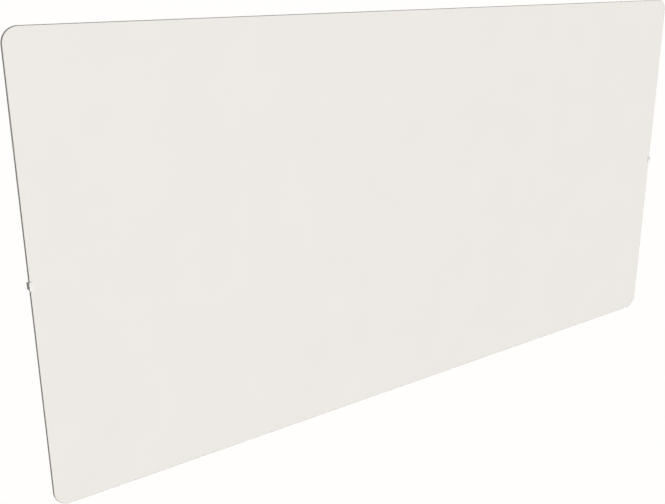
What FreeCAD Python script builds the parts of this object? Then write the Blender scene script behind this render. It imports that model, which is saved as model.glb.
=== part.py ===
import FreeCAD, Part
import math
import os

from FreeCAD import Vector

# Desk privacy panel: a thin laminated board with rounded corners, held by two small clamp
# clips, one on each short edge. The origin is the middle of the board. +X runs along the
# board to the right as seen from the front, +Y points to the back and +Z points up, so
# the front face looks along -Y. Millimetres throughout.

# Board
PANEL_WIDTH = 1600.0
PANEL_HEIGHT = 800.0
PANEL_THICKNESS = 6.0
CORNER_RADIUS = 27.0
LAMINATE_THICKNESS = 1.2
EDGE_ROUND_RADIUS = 1.1

# Gaps between pieces that move against each other
SLIDING_GAP = 0.02
EDGE_GAP = 0.05
THREAD_CLEARANCE = 0.03

# Clip body: a jaw plate on the front that thins towards its tip, a web outside the
# board's edge, and a foot behind the board with a round boss on its back. Jaw, web and
# foot are level below, and the jaw rises above the other two. At rest the middle of the
# web is a little above the middle of the board.
CLIP_LIFT = 1.1
JAW_HEIGHT = 14.4
JAW_THICKNESS = 2.85
JAW_TIP_THICKNESS = 0.95
JAW_TIP_RADIUS = 0.85
JAW_REACH = 6.2
JAW_TO_BOARD = 0.35
WEB_THICKNESS = 0.8
WEB_HEIGHT = 11.2
FOOT_THICKNESS = 5.8
FOOT_REACH = 20.0
FOOT_TO_BOARD = 0.3
FOOT_END_RADIUS = 3.0
CLIP_EDGE_RADIUS = 0.4
BOSS_RADIUS = 4.6
BOSS_HEIGHT = 0.8
BOSS_EDGE_RADIUS = 0.3

# Rubber pads inside the clip
EDGE_PAD_THICKNESS = 0.4
EDGE_PAD_RECESS = 0.15
EDGE_PAD_WIDTH = 5.0
REAR_PAD_THICKNESS = 0.6
REAR_PAD_WIDTH = 14.0
PAD_HEIGHT = 9.0
PAD_CORNER_RADIUS = 1.0
PAD_RECESS_SIDE_GAP = 0.05

# Clamp screw, M3 with a slot, and the disc that it presses on the board
SCREW_RADIUS = 1.5
SCREW_CORE_RADIUS = 1.25
SCREW_PITCH = 0.5
SCREW_SINK = 0.05
SCREW_INBOARD = 2.1
SCREW_HEIGHT = 5.0
SCREW_HEAD_LENGTH = 0.3
SCREW_SLOT_WIDTH = 0.5
SCREW_SLOT_DEPTH = 0.5
DISC_RADIUS = 1.9
DISC_THICKNESS = 0.4
DISC_RIM_CHAMFER = 0.1
DISC_POCKET_SIDE_GAP = 0.15
CLAMP_TRAVEL = SCREW_PITCH

# Threaded fixing hole in the foot, M4, open to the back
FIXING_RADIUS = 1.65
FIXING_DEPTH = 4.8
FIXING_INBOARD = 11.0
FIXING_COUNTERSINK = 0.4

# Places worked out from the sizes above, for the left clip, whose outside is towards -X.
# Heights are from the middle of the web.
BOARD_EDGE_X = -PANEL_WIDTH / 2
FRONT_Y = -PANEL_THICKNESS / 2
BACK_Y = PANEL_THICKNESS / 2
EDGE_PAD_INNER_X = BOARD_EDGE_X - EDGE_GAP
EDGE_PAD_OUTER_X = EDGE_PAD_INNER_X - EDGE_PAD_THICKNESS
WEB_INNER_X = EDGE_PAD_OUTER_X + EDGE_PAD_RECESS
WEB_OUTER_X = EDGE_PAD_OUTER_X - WEB_THICKNESS
JAW_END_X = BOARD_EDGE_X + JAW_REACH
FOOT_END_X = BOARD_EDGE_X + FOOT_REACH
JAW_BACK_Y = FRONT_Y - JAW_TO_BOARD
JAW_FRONT_Y = JAW_BACK_Y - JAW_THICKNESS
JAW_TIP_Y = JAW_BACK_Y - JAW_TIP_THICKNESS
JAW_SLOPE = (JAW_TIP_Y - JAW_FRONT_Y) / (JAW_END_X - WEB_OUTER_X)
REAR_PAD_FRONT_Y = BACK_Y + SLIDING_GAP
REAR_PAD_BACK_Y = REAR_PAD_FRONT_Y + REAR_PAD_THICKNESS
FOOT_FRONT_Y = BACK_Y + FOOT_TO_BOARD
FOOT_BACK_Y = FOOT_FRONT_Y + FOOT_THICKNESS
BOSS_BACK_Y = FOOT_BACK_Y + BOSS_HEIGHT
JAW_BOTTOM_Z = -WEB_HEIGHT / 2
JAW_TOP_Z = JAW_BOTTOM_Z + JAW_HEIGHT
REAR_PAD_MIDDLE_X = (BOARD_EDGE_X + FOOT_END_X) / 2
SCREW_X = BOARD_EDGE_X + SCREW_INBOARD
DISC_BACK_Y = FRONT_Y - SLIDING_GAP
DISC_FRONT_Y = DISC_BACK_Y - DISC_THICKNESS
SCREW_TIP_Y = DISC_FRONT_Y - SLIDING_GAP / 2
SCREW_INNER_X = SCREW_X + SCREW_RADIUS
SCREW_HEAD_Y = JAW_FRONT_Y + JAW_SLOPE * (SCREW_INNER_X - WEB_OUTER_X) + SCREW_SINK
FIXING_X = BOARD_EDGE_X + FIXING_INBOARD

# An edge lies in a plane if it is no further from it than this
CLEAR_OF_PLANE = 0.01

RIGHTWARD = Vector(1, 0, 0)
FORWARD = Vector(0, -1, 0)
BACKWARD = Vector(0, 1, 0)
UPWARD = Vector(0, 0, 1)


def box(x_range, y_range, z_range):
    """Box between the lower and upper limits given along each axis."""
    low, high = zip(x_range, y_range, z_range)
    size = [upper - lower for lower, upper in zip(low, high)]
    return Part.makeBox(*size, Vector(*low))


def cylinder_along_y(radius, y_start, y_end, x, z):
    """Cylinder whose axis runs along Y, from y_start back to y_end."""
    return Part.makeCylinder(radius, y_end - y_start, Vector(x, y_start, z), BACKWARD)


def edges_along(edges, direction):
    """Straight edges, out of those given, that run along a direction either way."""
    found = []
    for edge in edges:
        if isinstance(edge.Curve, Part.Line):
            along = (edge.Vertexes[-1].Point - edge.Vertexes[0].Point).normalize()
            if abs(along.dot(direction)) > 0.999:
                found.append(edge)
    return found


def edges_in_plane(edges, axis, value):
    """Edges, out of those given, that lie where one coordinate has the value given."""
    found = []
    for edge in edges:
        limits = edge.BoundBox
        low = getattr(limits, axis + "Min")
        high = getattr(limits, axis + "Max")
        if abs(low - value) < CLEAR_OF_PLANE and abs(high - value) < CLEAR_OF_PLANE:
            found.append(edge)
    return found


def rounded_sheet(y_front, y_back):
    """Upright sheet with the board's rounded outline."""
    half_width = PANEL_WIDTH / 2
    half_height = PANEL_HEIGHT / 2
    sheet = box((-half_width, half_width), (y_front, y_back), (-half_height, half_height))
    return sheet.makeFillet(CORNER_RADIUS, edges_along(sheet.Edges, BACKWARD))


def core_board():
    """Core between the two laminates."""
    return rounded_sheet(FRONT_Y + LAMINATE_THICKNESS, BACK_Y - LAMINATE_THICKNESS)


def laminate(outer_y):
    """Pale facing sheet, rounded over along the rim of its outer face."""
    inner_y = outer_y - math.copysign(LAMINATE_THICKNESS, outer_y)
    sheet = rounded_sheet(min(outer_y, inner_y), max(outer_y, inner_y))
    return sheet.makeFillet(EDGE_ROUND_RADIUS, edges_in_plane(sheet.Edges, "Y", outer_y))


def upright_block(corners, z_range):
    """Solid with the plan outline given by its (x, y) corners."""
    low, high = z_range
    outline = [Vector(x, y, low) for x, y in corners]
    outline.append(outline[0])
    return Part.Face(Part.makePolygon(outline)).extrude(UPWARD * (high - low))


def jaw_plate():
    """Front plate, wedge-shaped in plan: round at its tip and softened all round its front."""
    corners = [
        (WEB_OUTER_X, JAW_FRONT_Y),
        (JAW_END_X, JAW_TIP_Y),
        (JAW_END_X, JAW_BACK_Y),
        (WEB_OUTER_X, JAW_BACK_Y),
    ]
    plate = upright_block(corners, (JAW_BOTTOM_Z, JAW_TOP_Z))
    tip = edges_in_plane(edges_in_plane(plate.Edges, "X", JAW_END_X), "Y", JAW_TIP_Y)
    plate = plate.makeFillet(JAW_TIP_RADIUS, tip)
    outer = edges_in_plane(edges_in_plane(plate.Edges, "X", WEB_OUTER_X), "Y", JAW_FRONT_Y)
    rims = edges_in_plane(plate.Edges, "Z", JAW_BOTTOM_Z) + edges_in_plane(plate.Edges, "Z", JAW_TOP_Z)
    back_line = JAW_BACK_Y - CLEAR_OF_PLANE
    front_rims = [edge for edge in rims if edge.BoundBox.YMin < back_line]
    return plate.makeFillet(CLIP_EDGE_RADIUS, outer + front_rims)


def web_and_foot():
    """Angle of web and foot, with the foot's free end and all outside edges rounded."""
    corners = [
        (WEB_OUTER_X, JAW_BACK_Y),
        (WEB_INNER_X, JAW_BACK_Y),
        (WEB_INNER_X, FOOT_FRONT_Y),
        (FOOT_END_X, FOOT_FRONT_Y),
        (FOOT_END_X, FOOT_BACK_Y),
        (WEB_OUTER_X, FOOT_BACK_Y),
    ]
    angle = upright_block(corners, (-WEB_HEIGHT / 2, WEB_HEIGHT / 2))
    end_edges = edges_along(edges_in_plane(angle.Edges, "X", FOOT_END_X), BACKWARD)
    angle = angle.makeFillet(FOOT_END_RADIUS, end_edges)
    back_rim = edges_in_plane(angle.Edges, "Y", FOOT_BACK_Y)
    web_rims = edges_along(edges_in_plane(angle.Edges, "X", WEB_OUTER_X), BACKWARD)
    return angle.makeFillet(CLIP_EDGE_RADIUS, back_rim + web_rims)


def boss():
    """Round boss on the foot's back, round the fixing hole."""
    drum = cylinder_along_y(BOSS_RADIUS, FOOT_FRONT_Y, BOSS_BACK_Y, FIXING_X, 0)
    return drum.makeFillet(BOSS_EDGE_RADIUS, edges_in_plane(drum.Edges, "Y", BOSS_BACK_Y))


def pad_block(x_range, y_range, round_along):
    """Thin pad of the common height with its four corners rounded."""
    pad = box(x_range, y_range, (-PAD_HEIGHT / 2, PAD_HEIGHT / 2))
    return pad.makeFillet(PAD_CORNER_RADIUS, edges_along(pad.Edges, round_along))


def edge_pad(extra=0.0):
    """Rubber pad between the web and the board's edge, larger all round by extra."""
    reach = EDGE_PAD_WIDTH / 2 + extra
    return pad_block((EDGE_PAD_OUTER_X, EDGE_PAD_INNER_X), (-reach, reach), RIGHTWARD)


def rear_pad(extra=0.0):
    """Rubber grip pad between the foot and the board's back, larger sideways by extra."""
    reach = REAR_PAD_WIDTH / 2 + extra
    x_range = (REAR_PAD_MIDDLE_X - reach, REAR_PAD_MIDDLE_X + reach)
    return pad_block(x_range, (REAR_PAD_FRONT_Y, REAR_PAD_BACK_Y), BACKWARD)


def disc_pocket():
    """Round pocket in the jaw that the pressure disc draws back into."""
    radius = DISC_RADIUS + DISC_POCKET_SIDE_GAP
    depth_y = DISC_FRONT_Y - CLAMP_TRAVEL - SLIDING_GAP
    return cylinder_along_y(radius, depth_y, JAW_BACK_Y, SCREW_X, SCREW_HEIGHT)


def screw_bore():
    """Threaded bore for the clamp screw, straight through the jaw."""
    radius = SCREW_RADIUS + THREAD_CLEARANCE
    return cylinder_along_y(radius, JAW_FRONT_Y, JAW_BACK_Y, SCREW_X, SCREW_HEIGHT)


def fixing_hole():
    """Blind threaded hole, with a lead-in at its mouth."""
    bottom_y = BOSS_BACK_Y - FIXING_DEPTH - FIXING_COUNTERSINK
    hole = cylinder_along_y(FIXING_RADIUS, bottom_y, BOSS_BACK_Y, FIXING_X, 0)
    mouth = Part.makeCone(
        FIXING_RADIUS + FIXING_COUNTERSINK,
        FIXING_RADIUS,
        FIXING_COUNTERSINK,
        Vector(FIXING_X, BOSS_BACK_Y, 0),
        FORWARD,
    )
    return hole.fuse(mouth)


def clip_body():
    """Jaw, web, foot and boss in one piece, with its recesses, bores and hole."""
    hollows = [
        edge_pad(PAD_RECESS_SIDE_GAP),
        rear_pad(PAD_RECESS_SIDE_GAP),
        disc_pocket(),
        screw_bore(),
        fixing_hole(),
    ]
    whole = jaw_plate().fuse([web_and_foot(), boss()]).removeSplitter()
    return whole.cut(hollows)


def pressure_disc():
    """Nylon disc that the screw presses on the board's front face."""
    disc = cylinder_along_y(DISC_RADIUS, DISC_FRONT_Y, DISC_BACK_Y, SCREW_X, SCREW_HEIGHT)
    rim = edges_in_plane(disc.Edges, "Y", DISC_BACK_Y)
    return disc.makeChamfer(DISC_RIM_CHAMFER, rim)


def screw_profile():
    """Half section of the screw beside its axis, with a V groove for every thread."""
    points = [Vector(0, SCREW_HEAD_Y, 0), Vector(SCREW_RADIUS, SCREW_HEAD_Y, 0)]
    y = SCREW_HEAD_Y + SCREW_HEAD_LENGTH
    while y + SCREW_PITCH < SCREW_TIP_Y:
        points.append(Vector(SCREW_RADIUS, y, 0))
        points.append(Vector(SCREW_CORE_RADIUS, y + SCREW_PITCH / 2, 0))
        y += SCREW_PITCH
    points.append(Vector(SCREW_RADIUS, y, 0))
    points.append(Vector(SCREW_CORE_RADIUS, SCREW_TIP_Y, 0))
    points.append(Vector(0, SCREW_TIP_Y, 0))
    points.append(points[0])
    return Part.Face(Part.makePolygon(points))


def clamp_screw():
    """Set screw with a straight slot in its outer end, level at rest."""
    turned = screw_profile().revolve(Vector(0, 0, 0), BACKWARD, 360)
    slot_end_y = SCREW_HEAD_Y + SCREW_SLOT_DEPTH
    half_slot = SCREW_SLOT_WIDTH / 2
    slot = box(
        (-SCREW_RADIUS, SCREW_RADIUS), (SCREW_HEAD_Y, slot_end_y), (-half_slot, half_slot)
    )
    screw = turned.cut(slot)
    screw.translate(Vector(SCREW_X, 0, SCREW_HEIGHT))
    return screw


def save(name, shape):
    """Writes one sub-part, after making sure that it is a sound solid."""
    solid = shape.Solids[0] if len(shape.Solids) == 1 else shape
    if not solid.isValid() or len(shape.Solids) != 1:
        raise ValueError(name + " is not one sound solid")
    solid.exportStep("parts/" + name + ".step")


def main():
    os.makedirs("parts", exist_ok=True)
    save("core_board", core_board())
    save("front_laminate", laminate(FRONT_Y))
    save("rear_laminate", laminate(BACK_Y))
    clip_pieces = {
        "clip_body": clip_body(),
        "edge_pad": edge_pad(),
        "rear_pad": rear_pad(),
        "pressure_disc": pressure_disc(),
        "clamp_screw": clamp_screw(),
    }
    for name, piece in clip_pieces.items():
        piece.translate(UPWARD * CLIP_LIFT)
        save("left_" + name, piece)
        save("right_" + name, piece.mirror(Vector(0, 0, 0), RIGHTWARD))


main()
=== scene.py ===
"""Desk privacy panel: the looks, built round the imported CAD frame. Metres throughout."""
import math

import bmesh
import bpy
from mathutils import Matrix, Vector


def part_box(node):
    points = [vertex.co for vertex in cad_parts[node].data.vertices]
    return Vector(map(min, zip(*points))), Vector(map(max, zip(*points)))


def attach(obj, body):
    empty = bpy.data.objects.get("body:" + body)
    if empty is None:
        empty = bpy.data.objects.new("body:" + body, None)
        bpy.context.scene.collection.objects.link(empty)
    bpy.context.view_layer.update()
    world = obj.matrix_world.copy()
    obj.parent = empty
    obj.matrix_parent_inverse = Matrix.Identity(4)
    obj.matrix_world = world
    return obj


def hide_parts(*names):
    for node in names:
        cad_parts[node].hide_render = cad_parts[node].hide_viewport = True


MILLIMETRE = 0.001
MICROMETRE = 0.000001

# Board
CORNER_RADIUS = 27.0 * MILLIMETRE
CORNER_STEPS = 32
EDGE_ROUND_RADIUS = 1.1 * MILLIMETRE
EDGE_ROUND_STEPS = 8
SHARP_ANGLE = math.radians(50)

# How squarely a surface faces the front or back, where the flat ends and the rim's painted shade begins
FLAT_FACING = 0.999
RIM_FACING = 0.96

# The range that most of a noise texture falls in
NOISE_LOW = 0.3
NOISE_HIGH = 0.7

# Sockets of a colour Mix node, whose names repeat
MIX_FIRST_COLOUR = 6
MIX_SECOND_COLOUR = 7
MIX_COLOUR_RESULT = 2

# Camera, placed by the angles and distance from which the board is seen
VIEW_AZIMUTH = math.radians(-35.946)
VIEW_ELEVATION = math.radians(17.803)
VIEW_ROLL = math.radians(-0.2925)
VIEW_DISTANCE = 1.7318
AIM_ALONG_BOARD = -0.1314
AIM_UP_BOARD = -0.0682
LENS_MM = 47.655
SENSOR_MM = 36.0

# Studio: a broad light in front, another behind, and a weak even light all round
FLOOR_BELOW_BOARD = 0.32
FLOOR_SIZE = 400.0
PAPER_WHITE = (1.0, 0.991, 0.974)
AMBIENT = 0.235
KEY_STRENGTH = 2.61
KEY_AZIMUTH = math.radians(6)
KEY_ELEVATION = math.radians(-3)
KEY_SOFTNESS = math.radians(30)
BACK_STRENGTH = 2.6
BACK_AZIMUTH = math.radians(156)
BACK_ELEVATION = math.radians(-10)
BACK_SOFTNESS = math.radians(30)


# ---------------------------------------------------------------- shader helpers


class Shader:
    """A procedural material under construction: a Principled shader and the nodes that feed it."""

    def __init__(self, name, roughness, **sockets):
        self.material = bpy.data.materials.new(name)
        self.material.use_nodes = True
        self.tree = self.material.node_tree
        self.tree.nodes.clear()
        self.output = self.tree.nodes.new("ShaderNodeOutputMaterial")
        self.principled = self.tree.nodes.new("ShaderNodeBsdfPrincipled")
        self.link(self.principled.outputs["BSDF"], self.output.inputs["Surface"])
        self.principled.inputs["Roughness"].default_value = roughness
        for socket, value in sockets.items():
            self.principled.inputs[socket.replace("_", " ")].default_value = value
        self.coordinates = self.tree.nodes.new("ShaderNodeTexCoord")

    def link(self, source, target):
        self.tree.links.new(source, target)

    def noise(self, scale, detail=3.0, stretch=(1, 1, 1)):
        """Noise in object space, scale in features per metre, stretched along the axes given."""
        mapping = self.tree.nodes.new("ShaderNodeMapping")
        mapping.inputs["Scale"].default_value = stretch
        self.link(self.coordinates.outputs["Object"], mapping.inputs["Vector"])
        noise = self.tree.nodes.new("ShaderNodeTexNoise")
        noise.inputs["Scale"].default_value = scale
        noise.inputs["Detail"].default_value = detail
        self.link(mapping.outputs["Vector"], noise.inputs["Vector"])
        return noise.outputs["Fac"]

    def rim(self):
        """0 on the flat front and back, 1 on the rounded rims and the sides, where the laminate's painted
        shade goes.
        """
        split = self.tree.nodes.new("ShaderNodeSeparateXYZ")
        self.link(self.coordinates.outputs["Normal"], split.inputs["Vector"])
        facing = self.tree.nodes.new("ShaderNodeMath")
        facing.operation = "ABSOLUTE"
        self.link(split.outputs["Y"], facing.inputs[0])
        turned = self.tree.nodes.new("ShaderNodeMapRange")
        turned.inputs["From Min"].default_value = FLAT_FACING
        turned.inputs["From Max"].default_value = RIM_FACING
        self.link(facing.outputs["Value"], turned.inputs["Value"])
        return turned.outputs["Result"]

    def depth(self, start, end):
        """0 at the front of the piece and 1 further back, by shares of its length along Y; it places the
        screw's painted shade.
        """
        split = self.tree.nodes.new("ShaderNodeSeparateXYZ")
        self.link(self.coordinates.outputs["Generated"], split.inputs["Vector"])
        sunk = self.tree.nodes.new("ShaderNodeMapRange")
        sunk.inputs["From Min"].default_value = start
        sunk.inputs["From Max"].default_value = end
        self.link(split.outputs["Y"], sunk.inputs["Value"])
        return sunk.outputs["Result"]

    def blend(self, factor, first, second):
        """First colour where the factor is 0, second where it is 1."""
        node = self.tree.nodes.new("ShaderNodeMix")
        node.data_type = "RGBA"
        self.link(factor, node.inputs["Factor"])
        self.link(first, node.inputs[MIX_FIRST_COLOUR])
        self.link(second, node.inputs[MIX_SECOND_COLOUR])
        return node.outputs[MIX_COLOUR_RESULT]

    def ramp(self, factor, low, high, start=NOISE_LOW, end=NOISE_HIGH):
        """Colour that goes from low to high while the factor goes from start to end."""
        node = self.tree.nodes.new("ShaderNodeValToRGB")
        stops = ((start, low), (end, high))
        for element, (position, colour) in zip(node.color_ramp.elements, stops):
            element.position = position
            element.color = (*colour, 1.0)
        self.link(factor, node.inputs["Fac"])
        return node.outputs["Color"]

    def spread(self, factor, low, high):
        """Maps the usual range of noise to the one given."""
        node = self.tree.nodes.new("ShaderNodeMapRange")
        node.inputs["From Min"].default_value = NOISE_LOW
        node.inputs["From Max"].default_value = NOISE_HIGH
        node.inputs["To Min"].default_value = low
        node.inputs["To Max"].default_value = high
        self.link(factor, node.inputs["Value"])
        return node.outputs["Result"]

    def bump(self, height, depth, under=None):
        """Bump of a depth in metres, on top of another bump if one is given."""
        bump = self.tree.nodes.new("ShaderNodeBump")
        bump.inputs["Distance"].default_value = depth
        self.link(height, bump.inputs["Height"])
        if under is not None:
            self.link(under, bump.inputs["Normal"])
        return bump.outputs["Normal"]

    def paint(self, colour=None, roughness=None, normal=None):
        """Connects what varies over the surface, and returns the material."""
        inputs = self.principled.inputs
        for source, socket in ((colour, "Base Color"), (roughness, "Roughness"), (normal, "Normal")):
            if source is not None:
                self.link(source, inputs[socket])
        return self.material


def shade(colour, factor):
    """A colour made lighter or darker."""
    return tuple(channel * factor for channel in colour)


# ---------------------------------------------------------------- materials


def laminate_material():
    """Warm off-white laminate with a fine suede texture, darkened at the rims and sides with painted
    shade in a grey backing colour.
    """
    white = (0.800, 0.769, 0.734)
    # Painted shade: a darker grey for the rounded rims and sides, standing in for the shade along the
    # board's edges
    painted_rim_shade = (0.37, 0.353, 0.332)
    shader = Shader("laminate_off_white", roughness=0.6, Specular_IOR_Level=0.1)
    clouds = shader.noise(9.0, detail=4.0)
    face = shader.ramp(clouds, shade(white, 0.992), shade(white, 1.008))
    fibres = shader.noise(500.0, detail=3.0)
    # The edge colour is the painted rim shade, with a little random tone
    edge = shader.ramp(fibres, shade(painted_rim_shade, 0.95), shade(painted_rim_shade, 1.05))
    colour = shader.blend(shader.rim(), face, edge)
    grain = shader.noise(2600.0, detail=2.0)
    ripple = shader.noise(700.0, detail=2.0)
    normal = shader.bump(ripple, 30 * MICROMETRE, under=shader.bump(grain, 20 * MICROMETRE))
    return shader.paint(colour, shader.spread(grain, 0.55, 0.65), normal)


def core_material():
    """Pale pressed core: paper-thin layers that follow the board, seen end on round its edge."""
    pale = (0.78, 0.755, 0.72)
    shader = Shader("core_pale", roughness=0.62)
    layers = shader.noise(60.0, detail=2.0, stretch=(0.2, 60.0, 0.2))
    colour = shader.ramp(layers, shade(pale, 0.93), shade(pale, 1.04))
    fibres = shader.noise(900.0, detail=3.0, stretch=(0.2, 2.0, 0.2))
    normal = shader.bump(layers, 10 * MICROMETRE, under=shader.bump(fibres, 10 * MICROMETRE))
    return shader.paint(colour, shader.spread(fibres, 0.55, 0.7), normal)


def powder_coat_material():
    """White powder coat with its orange peel."""
    white = (0.86, 0.842, 0.81)
    shader = Shader("powder_coat_white", roughness=0.5, Specular_IOR_Level=0.25)
    peel = shader.noise(1500.0, detail=1.0)
    specks = shader.noise(5200.0, detail=2.0)
    colour = shader.ramp(peel, shade(white, 0.985), white)
    normal = shader.bump(peel, 15 * MICROMETRE, under=shader.bump(specks, 4 * MICROMETRE))
    return shader.paint(colour, shader.spread(peel, 0.46, 0.56), normal)


def rubber_material():
    """Dark grip rubber, dusty on its high spots."""
    black = (0.018, 0.018, 0.02)
    shader = Shader("pad_rubber_dark", roughness=0.8)
    dust = shader.noise(1200.0, detail=4.0)
    colour = shader.ramp(dust, black, shade(black, 2.2), start=0.35, end=0.75)
    normal = shader.bump(dust, 50 * MICROMETRE)
    return shader.paint(colour, shader.spread(dust, 0.7, 0.9), normal)


def nylon_material():
    """Natural nylon, slightly waxy."""
    ivory = (0.70, 0.68, 0.61)
    shader = Shader("disc_nylon_natural", roughness=0.45, Subsurface_Weight=0.15)
    shader.principled.inputs["Subsurface Scale"].default_value = 0.8 * MILLIMETRE
    flow = shader.noise(900.0, detail=3.0)
    colour = shader.ramp(flow, shade(ivory, 0.94), ivory)
    return shader.paint(colour, shader.spread(flow, 0.38, 0.52), shader.bump(flow, 30 * MICROMETRE))


def steel_material():
    """Plated screw steel with fine turning marks, bright on its end, with painted shade further back
    along it, down in the slot.
    """
    steel = (0.38, 0.375, 0.37)
    # Painted shade: near-black for the slot and the shank behind the screw's end
    slot_shade = (0.06, 0.058, 0.055)
    shader = Shader("screw_steel_plated", roughness=0.42, Metallic=1.0)
    marks = shader.noise(2500.0, detail=3.0, stretch=(1.0, 6.0, 1.0))
    bright = shader.ramp(marks, shade(steel, 0.85), shade(steel, 1.1))
    dark = shader.ramp(marks, shade(slot_shade, 0.8), shade(slot_shade, 1.2))
    # Painted shade takes over from the bright steel with depth into the screw
    colour = shader.blend(shader.depth(0.08, 0.25), bright, dark)
    return shader.paint(colour, shader.spread(marks, 0.38, 0.46), shader.bump(marks, 20 * MICROMETRE))


# ---------------------------------------------------------------- board


def rounded_outline(width, height, inset):
    """Points round the board's outline, anticlockwise from the right, moved in by inset."""
    radius = CORNER_RADIUS - inset
    middles = [
        (width / 2 - CORNER_RADIUS, height / 2 - CORNER_RADIUS, 0),
        (CORNER_RADIUS - width / 2, height / 2 - CORNER_RADIUS, 90),
        (CORNER_RADIUS - width / 2, CORNER_RADIUS - height / 2, 180),
        (width / 2 - CORNER_RADIUS, CORNER_RADIUS - height / 2, 270),
    ]
    points = []
    for middle_x, middle_z, start in middles:
        for step in range(CORNER_STEPS + 1):
            angle = math.radians(start + 90 * step / CORNER_STEPS)
            x = middle_x + radius * math.cos(angle)
            z = middle_z + radius * math.sin(angle)
            points.append((x, z))
    return points


def sheet_mesh(name, width, height, rings):
    """Closed sheet from rings of (y, inset), with the first and last rings capped."""
    mesh = bmesh.new()
    loops = []
    for y, inset in rings:
        outline = rounded_outline(width, height, inset)
        loops.append([mesh.verts.new((x, y, z)) for x, z in outline])
    count = len(loops[0])
    for near, far in zip(loops, loops[1:]):
        for i in range(count):
            j = (i + 1) % count
            mesh.faces.new((near[i], near[j], far[j], far[i]))
    mesh.faces.new(loops[0])
    mesh.faces.new(loops[-1])
    bmesh.ops.recalc_face_normals(mesh, faces=mesh.faces)
    for face in mesh.faces:
        face.smooth = True
    for edge in mesh.edges:
        edge.smooth = edge.calc_face_angle() < SHARP_ANGLE
    data = bpy.data.meshes.new(name)
    mesh.to_mesh(data)
    mesh.free()
    piece = bpy.data.objects.new(name, data)
    bpy.context.scene.collection.objects.link(piece)
    weighted = piece.modifiers.new("flat_faces", "WEIGHTED_NORMAL")
    weighted.keep_sharp = True
    return piece


def sheet_size(node):
    """Width, height and the front and back of a sheet node."""
    low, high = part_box(node)
    return high.x - low.x, high.z - low.z, low.y, high.y


def laminate_sheet(node, outer_is_front, material):
    """Facing sheet whose outer rim is rounded over, in place of its CAD node."""
    width, height, front, back = sheet_size(node)
    outer, inner = (front, back) if outer_is_front else (back, front)
    inward = 1 if outer_is_front else -1
    rings = []
    for step in range(EDGE_ROUND_STEPS + 1):
        angle = math.radians(90 * step / EDGE_ROUND_STEPS)
        depth = EDGE_ROUND_RADIUS * (1 - math.sin(angle))
        inset = EDGE_ROUND_RADIUS * (1 - math.cos(angle))
        rings.append((outer + inward * depth, inset))
    rings.reverse()
    rings.append((inner, 0.0))
    finish_sheet(node, width, height, rings, material)


def core_sheet(node, material):
    """Core between the laminates, flush with them, in place of its CAD node."""
    width, height, front, back = sheet_size(node)
    finish_sheet(node, width, height, [(front, 0.0), (back, 0.0)], material)


def finish_sheet(node, width, height, rings, material):
    """Makes the sheet, gives it its material and puts it in place of its CAD node."""
    piece = sheet_mesh(node + "_sheet", width, height, rings)
    piece.data.materials.append(material)
    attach(piece, "board")
    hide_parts(node)


# ---------------------------------------------------------------- clips


def dress(piece, material):
    """Gives a CAD node its finish."""
    piece.data.materials.clear()
    piece.data.materials.append(material)


# ---------------------------------------------------------------- studio


def direction(azimuth, elevation):
    """Unit vector from the board towards a place round it: azimuth 0 is in front, 90 to the right."""
    level = math.cos(elevation)
    return Vector((math.sin(azimuth) * level, -math.cos(azimuth) * level, math.sin(elevation)))


def add_camera(board_low, board_high):
    """Camera at the front left of the board, a little above its middle."""
    size = board_high - board_low
    middle = (board_low + board_high) / 2
    aim = middle + Vector((AIM_ALONG_BOARD * size.x, 0, AIM_UP_BOARD * size.z))
    back = direction(VIEW_AZIMUTH, VIEW_ELEVATION)
    data = bpy.data.cameras.new("camera")
    data.lens = LENS_MM
    data.sensor_width = SENSOR_MM
    camera = bpy.data.objects.new("camera", data)
    roll = Matrix.Rotation(VIEW_ROLL, 4, "Z")
    turn = (-back).to_track_quat("-Z", "Y").to_matrix().to_4x4()
    camera.matrix_world = Matrix.Translation(aim + back * VIEW_DISTANCE) @ turn @ roll
    bpy.context.scene.collection.objects.link(camera)
    bpy.context.scene.camera = camera


def add_sun(name, azimuth, elevation, strength, softness):
    """Broad, even light from one side of the studio."""
    data = bpy.data.lights.new(name, "SUN")
    data.energy = strength
    data.angle = softness
    lamp = bpy.data.objects.new(name, data)
    lamp.rotation_mode = "QUATERNION"
    lamp.rotation_quaternion = (-direction(azimuth, elevation)).to_track_quat("-Z", "Y")
    bpy.context.scene.collection.objects.link(lamp)


def add_world():
    """White surroundings, bright to the camera, that light the board evenly and weakly."""
    world = bpy.data.worlds.new("studio")
    world.use_nodes = True
    tree = world.node_tree
    background = tree.nodes["Background"]
    path = tree.nodes.new("ShaderNodeLightPath")
    strength = tree.nodes.new("ShaderNodeMapRange")
    strength.inputs["To Min"].default_value = AMBIENT
    tree.links.new(path.outputs["Is Camera Ray"], strength.inputs["Value"])
    tree.links.new(strength.outputs["Result"], background.inputs["Strength"])
    background.inputs["Color"].default_value = (*PAPER_WHITE, 1)
    bpy.context.scene.world = world


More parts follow.
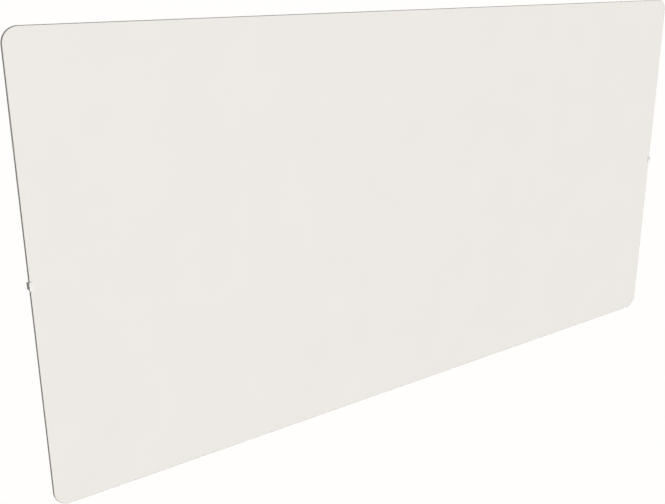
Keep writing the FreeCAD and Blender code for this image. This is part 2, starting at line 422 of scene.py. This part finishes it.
def add_floor(board_low):
    """Plain floor that glows an even white, like paper, and doesn't light or shade the board."""
    height = board_low.z - FLOOR_BELOW_BOARD
    half = FLOOR_SIZE / 2
    data = bpy.data.meshes.new("floor")
    corners = [(-half, -half, height), (half, -half, height), (half, half, height), (-half, half, height)]
    data.from_pydata(corners, [], [(0, 1, 2, 3)])
    floor = bpy.data.objects.new("floor", data)
    material = bpy.data.materials.new("floor_white")
    material.use_nodes = True
    tree = material.node_tree
    tree.nodes.clear()
    output = tree.nodes.new("ShaderNodeOutputMaterial")
    glow = tree.nodes.new("ShaderNodeEmission")
    glow.inputs["Color"].default_value = (*PAPER_WHITE, 1)
    tree.links.new(glow.outputs["Emission"], output.inputs["Surface"])
    data.materials.append(material)
    floor.visible_diffuse = False
    floor.visible_glossy = False
    floor.visible_shadow = False
    bpy.context.scene.collection.objects.link(floor)


# ---------------------------------------------------------------- build

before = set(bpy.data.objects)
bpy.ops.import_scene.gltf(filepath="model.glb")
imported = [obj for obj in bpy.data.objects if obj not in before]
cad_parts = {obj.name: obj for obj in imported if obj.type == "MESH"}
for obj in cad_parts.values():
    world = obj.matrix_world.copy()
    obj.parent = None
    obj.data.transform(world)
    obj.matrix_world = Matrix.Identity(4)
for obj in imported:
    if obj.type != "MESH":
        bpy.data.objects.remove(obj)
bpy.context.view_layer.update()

laminate = laminate_material()
laminate_sheet("front_laminate", True, laminate)
laminate_sheet("rear_laminate", False, laminate)
core_sheet("core_board", core_material())

rubber = rubber_material()
clip_finish = {
    "clip_body": powder_coat_material(),
    "edge_pad": rubber,
    "rear_pad": rubber,
    "pressure_disc": nylon_material(),
    "clamp_screw": steel_material(),
}
for side in ("left", "right"):
    for piece, material in clip_finish.items():
        dress(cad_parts[side + "_" + piece], material)

board_low, board_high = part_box("core_board")
add_camera(board_low, board_high)
add_world()
add_floor(board_low)
add_sun("key_light", KEY_AZIMUTH, KEY_ELEVATION, KEY_STRENGTH, KEY_SOFTNESS)
add_sun("back_light", BACK_AZIMUTH, BACK_ELEVATION, BACK_STRENGTH, BACK_SOFTNESS)
bpy.context.scene.view_settings.view_transform = "Standard"
